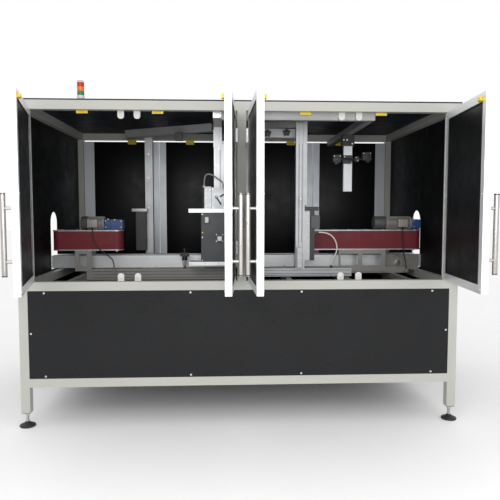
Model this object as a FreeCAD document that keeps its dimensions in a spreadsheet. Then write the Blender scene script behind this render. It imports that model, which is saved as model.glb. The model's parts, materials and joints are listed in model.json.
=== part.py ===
import FreeCAD, Part
import math
import os
import re

import Sketcher

V = FreeCAD.Vector
doc = FreeCAD.newDocument("container_cell")

# Driving dimensions in millimetres. Y = 0 is the front face of the frame, Z = 0 the floor.
CELLS = {
    "cell_width": 3000, "cell_depth": 1650, "tube": 60, "cell_top": 2200, "roof_gauge": 6,
    "mid_top": 995, "low_top": 335, "leg_end": 100, "foot_radius": 50, "foot_stem": 10,
    "origin_depth": 500.5, "panel_gauge": 5, "door_width": 700, "door_gauge": 40,
    "door_gap": 2, "door_set": 10, "pin_front": 8, "stile": 50, "door_lift": 3,
    "rear_hinge_stile": 95, "rear_free_stile": 62, "rear_gap": 12,
    "grip_radius": 14.8, "grip_long": 462, "grip_span": 295, "grip_height": 1338, "grip_stand": 47,
    "grip_inset": 34,
    "line_front": 700, "line_back": 900, "line_top": 1118, "rail_gauge": 40, "rail_depth": 98,
    "belt_front": 600, "belt_radius": 55, "belt_low": 1174, "belt_high": 1314, "belt_gauge": 5,
    "plate_gauge": 8, "profile": 60, "beam_low": 2078,
    "head_front": 450, "head_plate": 28, "head_low": 1062, "head_high": 1488,
    "post_left": 405, "post_front": 300,
}
dims = doc.addObject("Spreadsheet::Sheet", "dims")
for row, (alias, value) in enumerate(CELLS.items(), start=1):
    dims.set(f"A{row}", alias)
    dims.set(f"B{row}", str(value))
    dims.setAlias(f"B{row}", alias)
doc.recompute()

NODES = []


def bound(text):
    """Expression text with every alias read from the sheet."""
    return re.sub(r"[a-z][a-z_]+", lambda m: f"dims.{m[0]}" if m[0] in CELLS else m[0], str(text))


def tie(obj, path, text):
    obj.setExpression(path, bound(text))


def put(obj, at):
    for letter, text in zip("xyz", at):
        tie(obj, f"Placement.Base.{letter}", text)
    return obj


def box(size, at):
    """A block of this size with its lowest corner at the given place."""
    obj = doc.addObject("Part::Box", "block")
    for name, text in zip(("Length", "Width", "Height"), size):
        tie(obj, name, text)
    return put(obj, at)


TURN = {"z": FreeCAD.Rotation(), "x": FreeCAD.Rotation(V(0, 1, 0), 90), "y": FreeCAD.Rotation(V(1, 0, 0), -90)}


def rod(radius, length, at, axis="z"):
    """A round bar from the given place along +X, +Y or +Z."""
    obj = doc.addObject("Part::Cylinder", "rod")
    tie(obj, "Radius", radius)
    tie(obj, "Height", length)
    obj.Placement = FreeCAD.Placement(V(), TURN[axis])
    return put(obj, at)


def cone(low, high, length, at):
    obj = doc.addObject("Part::Cone", "cone")
    tie(obj, "Radius1", low)
    tie(obj, "Radius2", high)
    tie(obj, "Height", length)
    return put(obj, at)


def joined(*shapes):
    obj = doc.addObject("Part::MultiFuse", "joined")
    obj.Shapes = list(shapes)
    obj.Refine = True
    return obj


def less(base, *tools):
    obj = doc.addObject("Part::Cut", "less")
    obj.Base = base
    obj.Tool = tools[0] if len(tools) == 1 else joined(*tools)
    obj.Refine = True
    return obj


def soften(base, radius, wanted):
    """Round the edges that the test picks."""
    doc.recompute()
    picked = [i for i, edge in enumerate(base.Shape.Edges, start=1) if wanted(edge)]
    obj = doc.addObject("Part::Fillet", "soft")
    obj.Base = base
    obj.Edges = [(i, radius, radius) for i in picked]
    return obj


def upright(edge):
    return len(edge.Vertexes) == 2 and abs(edge.tangentAt(edge.FirstParameter).z) > 0.999


def node(label, *pieces, at=(0, 0, 0), turn=0):
    """One sub-part: its pieces, its name and its place behind the origin."""
    obj = doc.addObject("Part::Compound", label)
    obj.Links = list(pieces)
    obj.Label = label
    obj.Placement = FreeCAD.Placement(V(), FreeCAD.Rotation(V(0, 0, 1), turn))
    put(obj, (at[0], f"{at[1]} - origin_depth", at[2]))
    NODES.append(obj)
    return obj


def plane(body, role):
    return next(f for f in body.Origin.OriginFeatures if f.Role == role)


def rectangle(sketch, low, high):
    """A rectangle whose corners are bound to the sheet."""
    first = sketch.GeometryCount
    corners = [V(0, 0, 0), V(10, 0, 0), V(10, 10, 0), V(0, 10, 0)]
    for i in range(4):
        sketch.addGeometry(Part.LineSegment(corners[i], corners[(i + 1) % 4]), False)
    for i in range(4):
        sketch.addConstraint(Sketcher.Constraint("Coincident", first + i, 2, first + (i + 1) % 4, 1))
    for i, kind in enumerate(("Horizontal", "Vertical", "Horizontal", "Vertical")):
        sketch.addConstraint(Sketcher.Constraint(kind, first + i))
    for point, place in ((1, low), (2, high)):
        line = first if point == 1 else first + 1
        for kind, text in zip(("DistanceX", "DistanceY"), place):
            index = sketch.addConstraint(Sketcher.Constraint(kind, line, point, 10.0))
            sketch.setExpression(f"Constraints[{index}]", bound(text))


def plate(label, role, low, high, windows, gauge, at, holes=()):
    """A flat plate: a sketched outline padded, then windows and round holes pocketed through it."""
    body = doc.addObject("PartDesign::Body", label)
    outline = body.newObject("Sketcher::SketchObject", f"{label}_outline")
    outline.AttachmentSupport = [(plane(body, role), "")]
    outline.MapMode = "FlatFace"
    rectangle(outline, low, high)
    pad = body.newObject("PartDesign::Pad", f"{label}_pad")
    pad.Profile = outline
    tie(pad, "Length", gauge)
    pad.Midplane = True
    if windows or holes:
        doc.recompute()
        cuts = body.newObject("Sketcher::SketchObject", f"{label}_cuts")
        cuts.AttachmentSupport = [(plane(body, role), "")]
        cuts.MapMode = "FlatFace"
        for window in windows:
            rectangle(cuts, *window)
        for x, y, radius in holes:
            cuts.addGeometry(Part.Circle(V(x, y, 0), V(0, 0, 1), radius), False)
        pocket = body.newObject("PartDesign::Pocket", f"{label}_pocket")
        pocket.Profile = cuts
        pocket.Type = 1
        pocket.Midplane = True
        body.Tip = pocket
    body.Label = f"{label}_sheet"
    put(body, at)
    return body


def route(points):
    """Straight runs joined by tangent arcs."""
    points = [V(*p) for p in points]
    edges, start = [], points[0]
    for before, corner, after in zip(points, points[1:], points[2:]):
        back, ahead = before - corner, after - corner
        reach = 0.45 * min(back.Length, ahead.Length)
        back.normalize()
        ahead.normalize()
        turn = math.pi - back.getAngle(ahead)
        radius = reach / math.tan(turn / 2)
        enter, leave = corner + back * reach, corner + ahead * reach
        middle = (back + ahead).normalize()
        top = corner + middle * (radius / math.cos(turn / 2) - radius)
        edges.append(Part.LineSegment(start, enter).toShape())
        edges.append(Part.Arc(enter, top, leave).toShape())
        start = leave
    edges.append(Part.LineSegment(start, points[-1]).toShape())
    return Part.Wire(edges)


def cord(label, points, radius):
    """A cable: a round section carried along its route."""
    wire = route(points)
    along = V(*points[1]) - V(*points[0])
    section = Part.Wire([Part.makeCircle(radius, V(*points[0]), along)])
    solid = wire.makePipeShell([section], True, False)
    expected = math.pi * radius ** 2 * wire.Length
    if abs(solid.Volume - expected) > 0.02 * expected:
        raise ValueError(f"{label} is not a clean tube")
    obj = doc.addObject("Part::Feature", f"{label}_tube")
    obj.Shape = solid
    print(label, "length", round(wire.Length, 1))
    return node(label, obj)


# ---- welded frame ----
HALF = "cell_width / 2"
CORNERS = [(x, y) for x in (f"-{HALF}", f"{HALF} - tube") for y in ("0", "cell_depth - tube")]
FACES = ("0", "cell_depth - tube")
HINGE_HEIGHTS = (1180, 1930)


def ring(top):
    """Front, rear and two side beams whose top faces are at this height."""
    low = f"{top} - tube"
    across = [box(("cell_width - 2 * tube", "tube", "tube"), (f"-{HALF} + tube", y, low)) for y in FACES]
    sides = [box(("tube", "cell_depth - 2 * tube", "tube"), (x, "tube", low))
             for x in (f"-{HALF}", f"{HALF} - tube")]
    return across + sides


def fixed_leaves():
    """The frame's half of each hinge: a leaf on a post's outer face and a knuckle below the door's."""
    leaves = []
    for x, side in ((f"-{HALF} + tube", -1), ("-tube / 2", 1), ("tube / 2", -1), (f"{HALF} - tube", 1)):
        for pin, face in (("-pin_front", "-2.5"), ("cell_depth + pin_front", "cell_depth")):
            for z in HINGE_HEIGHTS:
                leaf = box(("24", "2.5", "28"), (x if side > 0 else f"{x} - 24", face, z - 29))
                leaves.append(joined(leaf, rod("6", "28", (x, pin, z - 29))))
    return leaves


def frame():
    corner = [box(("tube", "tube", "cell_top - tube - leg_end"), (x, y, "leg_end")) for x, y in CORNERS]
    centre = [box(("tube", "tube", "cell_top - tube - mid_top"), ("-tube / 2", y, "mid_top")) for y in FACES]
    node("frame_posts", *corner, *centre, *fixed_leaves())
    top = [box(("cell_width", "tube", "tube"), (f"-{HALF}", y, "cell_top - tube")) for y in FACES]
    top += [box(("tube", "cell_depth - 2 * tube", "tube"), (x, "tube", "cell_top - tube"))
            for x in (f"-{HALF}", "-tube / 2", f"{HALF} - tube")]
    node("frame_beams", *top, *ring("mid_top"), *ring("low_top"))
    node("roof_sheet", box(("cell_width", "cell_depth", "roof_gauge"), (f"-{HALF}", "0", "cell_top")))


def feet():
    pads, stems = [], []
    for x, y in CORNERS:
        middle = (f"{x} + tube / 2", f"{y} + tube / 2")
        pads.append(box(("tube - 4", "tube - 4", "4"), (f"{x} + 2", f"{y} + 2", "leg_end - 4")))
        foot = joined(rod("foot_radius", "12", (*middle, "0")),
                      cone("foot_radius", "foot_stem + 6", "16", (*middle, "12")),
                      rod("foot_stem + 6", "8", (*middle, "28")))
        pads.append(foot)
        nut = doc.addObject("Part::Prism", "nut")
        nut.Polygon = 6
        tie(nut, "Circumradius", "foot_stem + 7")
        tie(nut, "Height", "12")
        put(nut, (*middle, "leg_end - 20"))
        stems.append(joined(rod("foot_stem", "leg_end - 40", (*middle, "36")), nut))
    node("foot_pads", *pads)
    node("foot_stems", *stems)


def base_panels():
    wide, tall = "cell_width - 2 * tube", "mid_top - low_top - tube"
    node("base_panel_front", box((wide, "panel_gauge", tall), (f"-{HALF} + tube", "1", "low_top")))
    screws = [(x, z) for z in ("low_top + 16", "mid_top - tube - 15") for x in (-1330, -350, 410, 1320)]
    screws += [(-1422, "645"), (1422, "645")]
    node("base_panel_screws", *[joined(rod("7", "3", (x, "-2", z), "y"), rod("3", "9", (x, "0.2", z), "y"))
                                for x, z in screws])
    floor = box((wide, "cell_depth - 2 * tube", "panel_gauge"),
                (f"-{HALF} + tube", "tube", "low_top - tube + 4"))
    sides = [box(("panel_gauge", "cell_depth - 2 * tube", tall), (x, "tube", "low_top"))
             for x in (f"-{HALF} + 4", f"{HALF} - 4 - panel_gauge")]
    rear = box((wide, "panel_gauge", tall), (f"-{HALF} + tube", "cell_depth - 4 - panel_gauge", "low_top"))
    bracket = plate("cable_plate", "XZ_Plane", (-1228, 723), (-1030, 935), [], 8, (0, 34, 0),
                    holes=((-1113, 836, 30), (-1184, 757, 8), (-1072, 761, 8)))
    node("base_panels_sides", *sides, rear, floor, bracket)


def side_panels():
    """Upper side walls, each with a round-topped port for the containers."""
    panels = []
    low = "line_top - rail_depth - 12"
    for sign, near, far, top in ((-1, 712, 890, 1465), (1, 745, 935, 1477)):
        start = f"{sign} * (cell_width / 2 - 6) - panel_gauge / 2"
        wall = plate("side_wall" + ("_left" if sign < 0 else "_right"), "YZ_Plane",
                     ("tube", "mid_top"), ("cell_depth - tube", "cell_top - tube"), [], "panel_gauge",
                     (f"{sign} * (cell_width / 2 - 6)", 0, 0))
        radius = (far - near) / 2
        arch = joined(box(("panel_gauge + 2", far - near, f"{top - radius} - ({low})"),
                          (f"{start} - 1", near, low)),
                      rod(radius, "panel_gauge + 2", (f"{start} - 1", (near + far) / 2, top - radius), "x"))
        panels.append(less(wall, arch))
    node("side_panels", *panels)


def door_furniture():
    """Door stops, round-ended catches and coded safety switches, the front ones slimmer than the rear."""
    stops = [box(("34", "12", "cell_top - tube - mid_top"), (x, "45", "mid_top"))
             for x in (f"-{HALF} + tube", f"{HALF} - tube - 34")]
    tall = CELLS["cell_top"] - CELLS["tube"] - 52
    catches = [(x, tall, tall) for x in (-809, -701, 684, 803)]
    catches += [(x, CELLS["mid_top"], CELLS["mid_top"] + 52) for x in (-824, -709, 687, 813)]
    for x, base, free_end in catches:
        tab = box(("43", "12", "52"), (x - 21.5, "46", base))
        stops.append(soften(tab, 19, lambda e: abs(e.Length - 12) < 0.1
                            and abs(e.CenterOfMass.z - free_end) < 2))
    node("door_stops", *stops)
    front = [box(("76", "15", "18"), (x - 38, "45", "cell_top - tube - 18")) for x in (-1065, -563, 434, 956)]
    rear = [box(("76", "30", "42"), (x - 38, "cell_depth - 94", "cell_top - tube - 42"))
            for x in (-982, -439, 515, 982)]
    node("door_switches", *front, *rear)


def signal_tower():
    x, y, base = -1066, 32, "cell_top + roof_gauge"
    node("signal_tower_body", rod("24", "28", (x, y, base)), rod("23", "9", (x, y, f"{base} + 112")))
    node("signal_tower_lenses", *[rod("23", "28", (x, y, f"{base} + {28 * i}")) for i in (1, 2, 3)])


# ---- doors ----
# Each door is drawn shut, with its hinge pin on the Z axis, and then turned to where it stands.
FRONT_DOORS = (("left_outer", 1, f"-{HALF} + tube", -76.9), ("left_inner", -1, "-tube / 2", 87.0),
               ("right_inner", 1, "tube / 2", -88.4), ("right_outer", -1, f"{HALF} - tube", 85.1))
LOW, TALL = "mid_top + door_lift", "cell_top - tube - mid_top - 2 * door_lift"


def span(side, start, width):
    """Lowest X of a stretch that starts this far from the pin, on a left or right hung door."""
    return start if side > 0 else f"-({start}) - ({width})"


def door_frame(side, set_back, hinge_stile="stile", free_stile="stile", tall=TALL):
    width = "door_width"
    whole = box((width, "door_gauge", tall), (span(side, "door_gap", width), set_back, LOW))
    inside = f"door_width - {hinge_stile} - {free_stile}"
    hole = box((inside, "door_gauge + 2", f"{tall} - 2 * stile"),
               (span(side, f"door_gap + {hinge_stile}", inside), f"{set_back} - 1", f"{LOW} + stile"))
    return less(whole, hole)


def door_panel(side, set_back, hinge_stile="stile", free_stile="stile", tall=TALL):
    inside = f"door_width - {hinge_stile} - {free_stile}"
    return box((inside, "door_gauge - 8", f"{tall} - 2 * stile"),
               (span(side, f"door_gap + {hinge_stile}", inside), f"{set_back} + 4", f"{LOW} + stile"))


def hinges(side, face, out):
    """Two knuckles round the pin, each with a leaf on the door's outer face."""
    found = []
    for z in HINGE_HEIGHTS:
        leaf = box(("28", "2.5", "90"), (span(side, "4", "28"), f"{face} - 2.5" if out < 0 else face, z))
        knuckle = rod("6", "90", ("0", "0", z))
        bridge = box(("8", "5.5", "90"), (span(side, "0", "8"), "3" if out < 0 else "-8.5", z))
        found.append(joined(leaf, bridge, knuckle))
    return found


def handle(side, face, out):
    """A tubular pull on two standoffs, on the outer face near the free edge."""
    x = f"{side} * (door_gap + door_width - grip_inset)"
    y = f"{face} + {out} * grip_stand"
    bar = rod("grip_radius", "grip_long", (x, y, "grip_height - grip_long / 2"))
    posts = []
    for end in (-1, 1):
        start = f"{face} - grip_stand" if out < 0 else face
        posts.append(rod("9", "grip_stand", (x, start, f"grip_height + {end} * grip_span / 2"), "y"))
    return joined(bar, *posts)


def doors():
    for name, side, pin, opened in FRONT_DOORS:
        at = (pin, "-pin_front", 0)
        node(f"door_{name}_frame", door_frame(side, "door_set"), *hinges(side, "door_set", -1),
             at=at, turn=opened)
        node(f"door_{name}_panel", door_panel(side, "door_set"), at=at, turn=opened)
        node(f"door_{name}_handle", handle(side, "door_set", -1), at=at, turn=opened)
    rear = (("left_outer", 1, f"-{HALF} + tube"), ("left_inner", -1, "-tube / 2"),
            ("right_inner", 1, "tube / 2"), ("right_outer", -1, f"{HALF} - tube"))
    for name, side, pin in rear:
        set_back = "-door_set - door_gauge"
        build = (side, set_back, "rear_hinge_stile", "rear_free_stile", f"{TALL} - rear_gap")
        node(f"rear_door_{name}", door_frame(*build), door_panel(*build),
             *hinges(side, "-door_set", 1), handle(side, "-door_set", 1), at=(pin, "cell_depth + pin_front", 0))


frame()
feet()
base_panels()
side_panels()
door_furniture()
signal_tower()
doors()


# ---- conveyor ----
DRIVE_X = 1286                 # middle of the conveyor drive shaft


def conveyor():
    """Two grooved side rails along the cell, with the chain and its drive between them."""
    low = "line_top - rail_depth"
    length = "cell_width - 2 * 14"
    rails = []
    for y in ("line_front", "line_back - rail_gauge"):
        rail = box((length, "rail_gauge", "rail_depth"), (f"-{HALF} + 14", y, low))
        groove = [box((length, "6", "9"), (f"-{HALF} + 14", f"{y} + {dy}", f"{low} + {dz}"))
                  for dy in (0, 34) for dz in (22, 62)]
        bore = rod("12.05", "rail_gauge + 2", (DRIVE_X, f"{y} - 1", "line_top - 62"), "y")
        rails.append(less(rail, *groove, bore))
    bed = box(("2670", "line_back - line_front - 2 * rail_gauge", "4"),
              (-1400, "line_front + rail_gauge", "line_top - 22"))
    node("conveyor_rails", *rails, bed)
    node("conveyor_chain", box(("cell_width - 200", "116", "12"), (f"-{HALF} + 100", "742", "line_top - 18")))
    sprocket = rod("38", "60", (DRIVE_X, "770", "line_top - 62"), "y")
    shaft = rod("12", "250", (DRIVE_X, "675", "line_top - 62"), "y")
    node("conveyor_drive", joined(sprocket, shaft))


def angle_bracket(name, left, right, low, windows):
    """A slotted upright plate with a flange on top that carries a belt unit."""
    top = "belt_low - plate_gauge - 1"
    upright_plate = plate(name, "XZ_Plane", (left, low), (right, top), windows, 6, (0, 594, 0))
    flange = box((str(right - left), "46", "4"), (left, "594", f"{top} - 4"))
    return joined(upright_plate, flange)


def conveyor_supports():
    """Bearing plates, cross profiles, stands and the slotted brackets under the belts."""
    bearing = less(box(("284", "10", "126"), (1180, "line_front - 10", "mid_top")),
                   rod("12.05", "12", (DRIVE_X, "line_front - 11", "line_top - 62"), "y"))
    ring = less(rod("58", "8", (DRIVE_X, "line_front - 18", "line_top - 62"), "y"),
                rod("12.05", "10", (DRIVE_X, "line_front - 19", "line_top - 62"), "y"))
    parts = [bearing, ring]
    for x, start in ((-1230, 60), (-773, 650), (-330, 650), (330, 60), (760, 60), (1200, 60)):
        parts.append(box(("profile - 20", f"cell_depth - tube - {start}", "45"), (x, start, "mid_top - tube")))
        parts.append(box(("60", "90", "line_top - rail_depth - mid_top + 15"), (x - 10, "755", "mid_top - 15")))
    parts.append(box(("1140", "50", "85"), (-1190, "600", "mid_top - tube")))
    parts.append(box(("1100", "50", "50"), (250, "600", "mid_top - 15")))
    parts.append(angle_bracket("bracket_right", 786, 1161, 992, [((802, 1040), (943, 1133)),
                                                                 ((975, 1040), (1126, 1133))]))
    parts.append(angle_bracket("bracket_left", -1276, -1147, 1005, [((-1241, 1036), (-1186, 1138))]))
    for x, end in ((-974, "1030"), (1326, "1016")):
        parts.append(joined(box(("34", "32", "6"), (x - 17, "568", f"{end} - 26")),
                            rod("9", "20", (x, "580", f"{end} - 20"))))
    node("conveyor_supports", *parts)


# ---- side grip belts ----
def grip_unit(name, left, right, gear, motor_left, cowl_long, gland_x):
    """A flat belt round a fixed nose and an upright drive roller, with its gearmotor on top."""
    centre = "belt_front + belt_radius"
    length = right - left
    nose_x, drive_x = f"{left} + belt_radius", f"{right} - belt_radius"
    deck = "belt_high + 1 + plate_gauge"

    def stadium(inset, low, high):
        reach = f"belt_radius - {inset}"
        middle = box((f"{length} - 2 * belt_radius", f"2 * ({reach})", f"{high} - ({low})"),
                     (nose_x, f"belt_front + {inset}", low))
        ends = [rod(reach, f"{high} - ({low})", (x, centre, low)) for x in (nose_x, drive_x)]
        return joined(middle, *ends)

    belt = less(stadium("0", "belt_low", "belt_high"), stadium("belt_gauge", "belt_low - 1", "belt_high + 1"))
    node(f"{name}_grip_belt", belt)
    top = less(stadium("-4", "belt_high + 1", deck), rod("12.05", "60", (drive_x, centre, "belt_high - 20")))
    bottom = less(stadium("-2", "belt_low - 1 - plate_gauge", "belt_low - 1"),
                  rod("12.05", "60", (drive_x, centre, "belt_low - 40")))
    between = "belt_high - belt_low + 2"
    nose = rod("belt_radius - belt_gauge - 0.5", between, (nose_x, centre, "belt_low - 1"))
    inner_left, inner_long = f"{left} + 2 * belt_radius + 10", f"{length} - 4 * belt_radius - 20"
    core = box((inner_long, "40", between), (inner_left, f"{centre} - 20", "belt_low - 1"))
    slides = [box((inner_long, "12", "60"), (inner_left, y, "belt_low + 40"))
              for y in (f"{centre} + 36", f"{centre} - 48")]
    node(f"{name}_grip_plates", top, bottom, nose, core, *slides)
    roller = rod("belt_radius - belt_gauge - 0.5", "belt_high - belt_low - 4",
                 (drive_x, centre, "belt_low + 2"))
    pin = rod("12", "belt_high - belt_low + 40", (drive_x, centre, "belt_low - 20"))
    node(f"{name}_grip_roller", joined(roller, pin))
    gear_left, gear_right = gear
    gear_long = gear_right - gear_left
    case = soften(box((gear_long, "92", "70"), (gear_left, f"{centre} - 46", f"{deck} + 12")), 8, upright)
    seat = less(box((gear_long - 16, "70", "13"), (gear_left + 8, f"{centre} - 35", deck)),
                rod("13", "14", (drive_x, centre, f"{deck} - 1")))
    studs = [rod("7", "10", (gear_left + gear_long * part, f"{centre} - 55", f"{deck} + {up}"), "y")
             for part in (0.4, 0.75) for up in (22, 72)]
    node(f"{name}_gearbox", joined(case, seat), *studs)
    axis_z = f"{deck} + 54"
    barrel_left = motor_left + cowl_long
    barrel_long = gear_left - barrel_left
    barrel = rod("46", barrel_long, (barrel_left, centre, axis_z), "x")
    face = rod("50", "10", (gear_left - 12, centre, axis_z), "x")
    ribs = [rod("52", "3.5", (barrel_left + 6 + 10 * i, centre, axis_z), "x")
            for i in range(int((barrel_long - 24) / 10))]
    cowl = rod("53", cowl_long, (motor_left, centre, axis_z), "x")
    terminal = soften(box(("74", "34", "58"), (gland_x - 36, f"{centre} - 84", f"{axis_z} - 30")), 5,
                      lambda e: abs(e.Length - 34) < 0.1)
    gland = rod("8", "17", (gland_x, f"{centre} - 75", f"{axis_z} - 47"))
    node(f"{name}_motor", joined(barrel, face, *ribs, terminal, gland, cowl))


def grip_cables():
    start_z = 1330
    cord("left_motor_cable", [(-1136, 580, start_z), (-1136, 580, 1268), (-1112, 580, 1210), (-1074, 580, 1164),
                              (-1024, 580, 1132), (-974, 580, 1090), (-974, 580, 1030)], 4)
    cord("right_motor_cable", [(1292, 580, start_z), (1292, 580, 1262), (1300, 580, 1190), (1306, 580, 1120),
                               (1326, 580, 1060), (1326, 580, 1016)], 4)


# ---- overhead beams and columns ----
KNOBS = ((200, 2038), (340, 2046))


def overhead():
    beams = [box(("profile", "cell_depth - 2 * tube", "profile"), (-195, "tube", "beam_low + 20"))]
    past_column = box(("100", "200", "90"), ("post_left", "200", "beam_low - 10"))
    for start, end in (((-935, 930), (-215, 535)), ((130, 500), (405, 315))):
        length = math.dist(start, end)
        turn = math.degrees(math.atan2(end[1] - start[1], end[0] - start[0]))
        bar = box((str(length), "profile", "profile"), (start[0], start[1], "beam_low"))
        bar.Placement.Rotation = FreeCAD.Rotation(V(0, 0, 1), turn)
        beams.append(less(bar, past_column))
    beams.append(box(("50", "cell_depth - 2 * tube", "50"), (868, "tube", "beam_low + 12")))
    beams.append(box(("1003", "50", "50"), (-135, "tube", "beam_low + 12")))
    node("overhead_beams", *beams, knob_plate())
    gantry = less(box(("66", "profile", "beam_low + 3 - mid_top"), ("post_left", "post_front", "mid_top + 55")),
                  *[box(("8", "6", "1200"), (f"post_left + {dx}", y, "mid_top + 54"))
                    for dx in (14, 44) for y in ("post_front", "post_front + profile - 6")])
    wing = box(("18", "30", "620"), ("post_left + 66", "post_front + 20", 1513))
    backing = box(("38", "10", "364"), ("post_left + 66", "post_front + 4", 1108))
    foot = box(("34", "30", "150"), ("post_left + 9", "post_front - 30", 1055))
    rear = box(("64", "64", "beam_low + 62 - line_top"), (-785, "1000", "line_top"))
    base = box(("64", "64", "line_top - mid_top + 15"), (-785, "1000", "mid_top - 15"))
    carrier = box(("672", "profile", "60"), (150, "post_front", "mid_top - 5"))
    node("profile_columns", joined(gantry, wing, backing), foot, joined(rear, base), carrier)


def slide():
    """Toothed upright slide beside the gantry column, its carriage, and a fixed connector with a hose."""
    x = 509
    rail = box(("36", "22", "366"), (x, "post_front + 4", 1107))
    teeth = [box(("5", "24", "5"), (x + 34, "post_front + 3", 1113 + 11 * i)) for i in range(16)]
    cap = box(("102", "40", "30"), (x - 38, "post_front - 6", 1473))
    connector = box(("66", "20", "20"), (x + 2, "post_front + 4", 1305))
    carriage = box(("34", "52", "100"), (x + 38, "post_front - 10", 1342))
    shoes = [box(("16", "8", "90"), (x + 8, "post_front - 5", 1347)),
             box(("64", "5", "90"), (x + 8, "post_front - 10", 1347))]
    node("slide_carriage", joined(carriage, *shoes))
    cord("slide_hose", [(577, 314, 1315), (628, 314, 1315), (688, 314, 1284), (718, 314, 1215),
                        (708, 314, 1150), (672, 314, 1112), (672, 314, 1070)], 5)
    return [joined(less(rail, *teeth), connector), cap]


def star_knob(name, x, z):
    hub = rod("16", "18", (x, "336", z), "y")
    lobes = []
    for i in range(5):
        turn = math.radians(90 + 72 * i)
        lobes.append(rod("10", "16", (x + 18 * math.cos(turn), "337", z + 18 * math.sin(turn)), "y"))
    node(name, joined(hub, *lobes, rod("5", "32", (x, "352", z), "y")))


def knob_plate():
    """Clamp plate beside the gantry column that the two star knobs tighten."""
    strip = box(("post_left - 150", "12", "62"), (150, "post_front + 55", 2010))
    return less(strip, *[rod("5.05", "14", (x, "post_front + 54", z), "y") for x, z in KNOBS])


# ---- inspection head in the left bay ----
LEVER = (-178, 1577)           # the clamp lever's pin


def head():
    column = less(box(("140", "90", "850"), (-195, "head_front + 20", 1130)),
                  *[box(("8", "6", "840"), (x, "head_front + 20", 1132)) for x in (-177, -150, -108, -81)])
    neck = box(("60", "90", "beam_low + 20 - 1980"), (-195, "head_front + 20", 1980))
    clamp = box(("64", "8", "124"), (-198, "head_front + 12", 1950))
    bolts = [rod("7", "6", (x, "head_front + 6", z), "y") for x in (-186, -146) for z in (1964, 2058)]
    node("head_column", joined(column, neck), joined(clamp, *bolts))
    notch = ("144", "90.6", "40")
    shelves = []
    for left, wide, z in ((-384, 357, "head_high - head_plate"), (-383, 353, "head_low")):
        shelf = box((wide, 140, "head_plate"), (left, "head_front - 40", z))
        shelves.append(less(shelf, box(notch, ("-197", "head_front + 19.7", f"{z} - 5"))))
    spine = box(("20", "60", "head_high - head_low - 2 * head_plate"),
                (-48, "head_front + 30", "head_low + head_plate"))
    node("head_plates", *shelves, spine)
    block = joined(box(("64", "50", "166"), (-280, "head_front - 20", "head_high")),
                   rod("10", "8", (-268, "head_front - 12", "head_high + 166")))
    x, z = LEVER
    panel = joined(box(("104", "10", "160"), (-214, "head_front - 10", "head_high")),
                   rod("5", "44", (x, "head_front - 48", z), "y"),
                   rod("8", "18", (-128, "head_front - 16", 1640)))
    node("head_bracket", block, panel)
    body = box(("241", "56", "head_high - head_low - 2 * head_plate"),
               (-293, "head_front - 38", "head_low + head_plate"))
    plugs = [box(("34", "10", "50"), (-266, "head_front - 47", 1380)),
             box(("60", "10", "60"), (-184, "head_front - 47", 1240))]
    node("head_box", joined(soften(body, 4, upright), *plugs))
    cord("head_cable", [(-268, 438, 1662), (-268, 438, 1716), (-250, 437, 1750), (-204, 436, 1742),
                        (-158, 435, 1706), (-128, 434, 1690), (-128, 434, 1658)], 5)
    arm = box(("62", "10", "12"), (x - 5.1, "head_front - 44", z - 3.2))
    arm.Placement.Rotation = FreeCAD.Rotation(V(0, 1, 0), 58)
    lever = joined(rod("10", "18", (x, "head_front - 46", z), "y"), arm,
                   rod("8", "22", (x + 32, "head_front - 50", z - 51), "y"))
    node("clamp_lever", less(lever, rod("5.05", "60", (x, "head_front - 60", z), "y")))


def hanging_arm():
    """Sensor column that slides in a clamp under the depth beam; gives back the clamp."""
    node("sensor_column", box(("70", "36", "442"), (862, "800", 1633)))
    return less(box(("98", "66", "88"), (848, "785", "beam_low - 76")),
                box(("70.6", "36.6", "120"), (861.7, "799.7", "beam_low - 90")))


def sensor_clamps():
    bar = rod("7", "325", (762, "780", 1895), "x")
    heads = [box(("62", "40", "60"), (770, "760", 1868)), box(("70", "40", "66"), (1010, "760", 1884))]
    clamp = box(("30", "26", "44"), (950, "767", 1873))
    mount = box(("74", "7", "70"), (860, "793", 1858))
    eyes = [box(("22", "46", "26"), (x, "744", z)) for x, z in ((782, 1850), (1040, 1868))]
    node("sensor_clamps", joined(bar, *heads, clamp, mount, *eyes))


def fittings(*extra):
    """Black fittings: control box on the rear column, junction block overhead, water trap by the head."""
    control = joined(soften(box(("90", "70", "322"), (-861, "930", 1144)), 6, upright),
                     rod("9", "5", (-800, "926", 1300), "y"))
    junction = box(("60", "70", "58"), (-500, "610", 2020))
    trap = joined(box(("66", "60", "28"), (-464, "590", 1118)), rod("20", "30", (-431, "620", 1090)),
                  box(("20", "18", "110"), (-441, "630", 1020)))
    hose_gland = rod("9", "20", (672, 314, "mid_top + 55"))
    node("black_fittings", control, junction, trap, hose_gland, *extra)


conveyor()
conveyor_supports()
grip_unit("left", -1453, -910, (-1052, -906), -1234, 50, -1136)
grip_unit("right", 447, 1454, (1376, 1452), 1074, 96, 1292)
grip_cables()
overhead()
star_knob("star_knob_left", *KNOBS[0])
star_knob("star_knob_right", *KNOBS[1])
head()
sensor_clamps()
fittings(*slide(), hanging_arm())


# ---- write the parts ----
doc.recompute()
os.makedirs("parts", exist_ok=True)
for obj in doc.Objects:
    if "Invalid" in obj.State or "Error" in obj.State:
        raise ValueError(f"{obj.Label} did not build")
low, high = V(1e9, 1e9, 1e9), V(-1e9, -1e9, -1e9)
for obj in NODES:
    if obj.Shape.isNull() or not obj.Shape.isValid() or not obj.Shape.Solids:
        raise ValueError(f"{obj.Label} has no sound shape")
    obj.Shape.exportStep(f"parts/{obj.Label}.step")
    bounds = obj.Shape.BoundBox
    low = V(*(min(a, b) for a, b in zip(low, (bounds.XMin, bounds.YMin, bounds.ZMin))))
    high = V(*(max(a, b) for a, b in zip(high, (bounds.XMax, bounds.YMax, bounds.ZMax))))
print(len(NODES), "parts from", low, "to", high)
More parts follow.
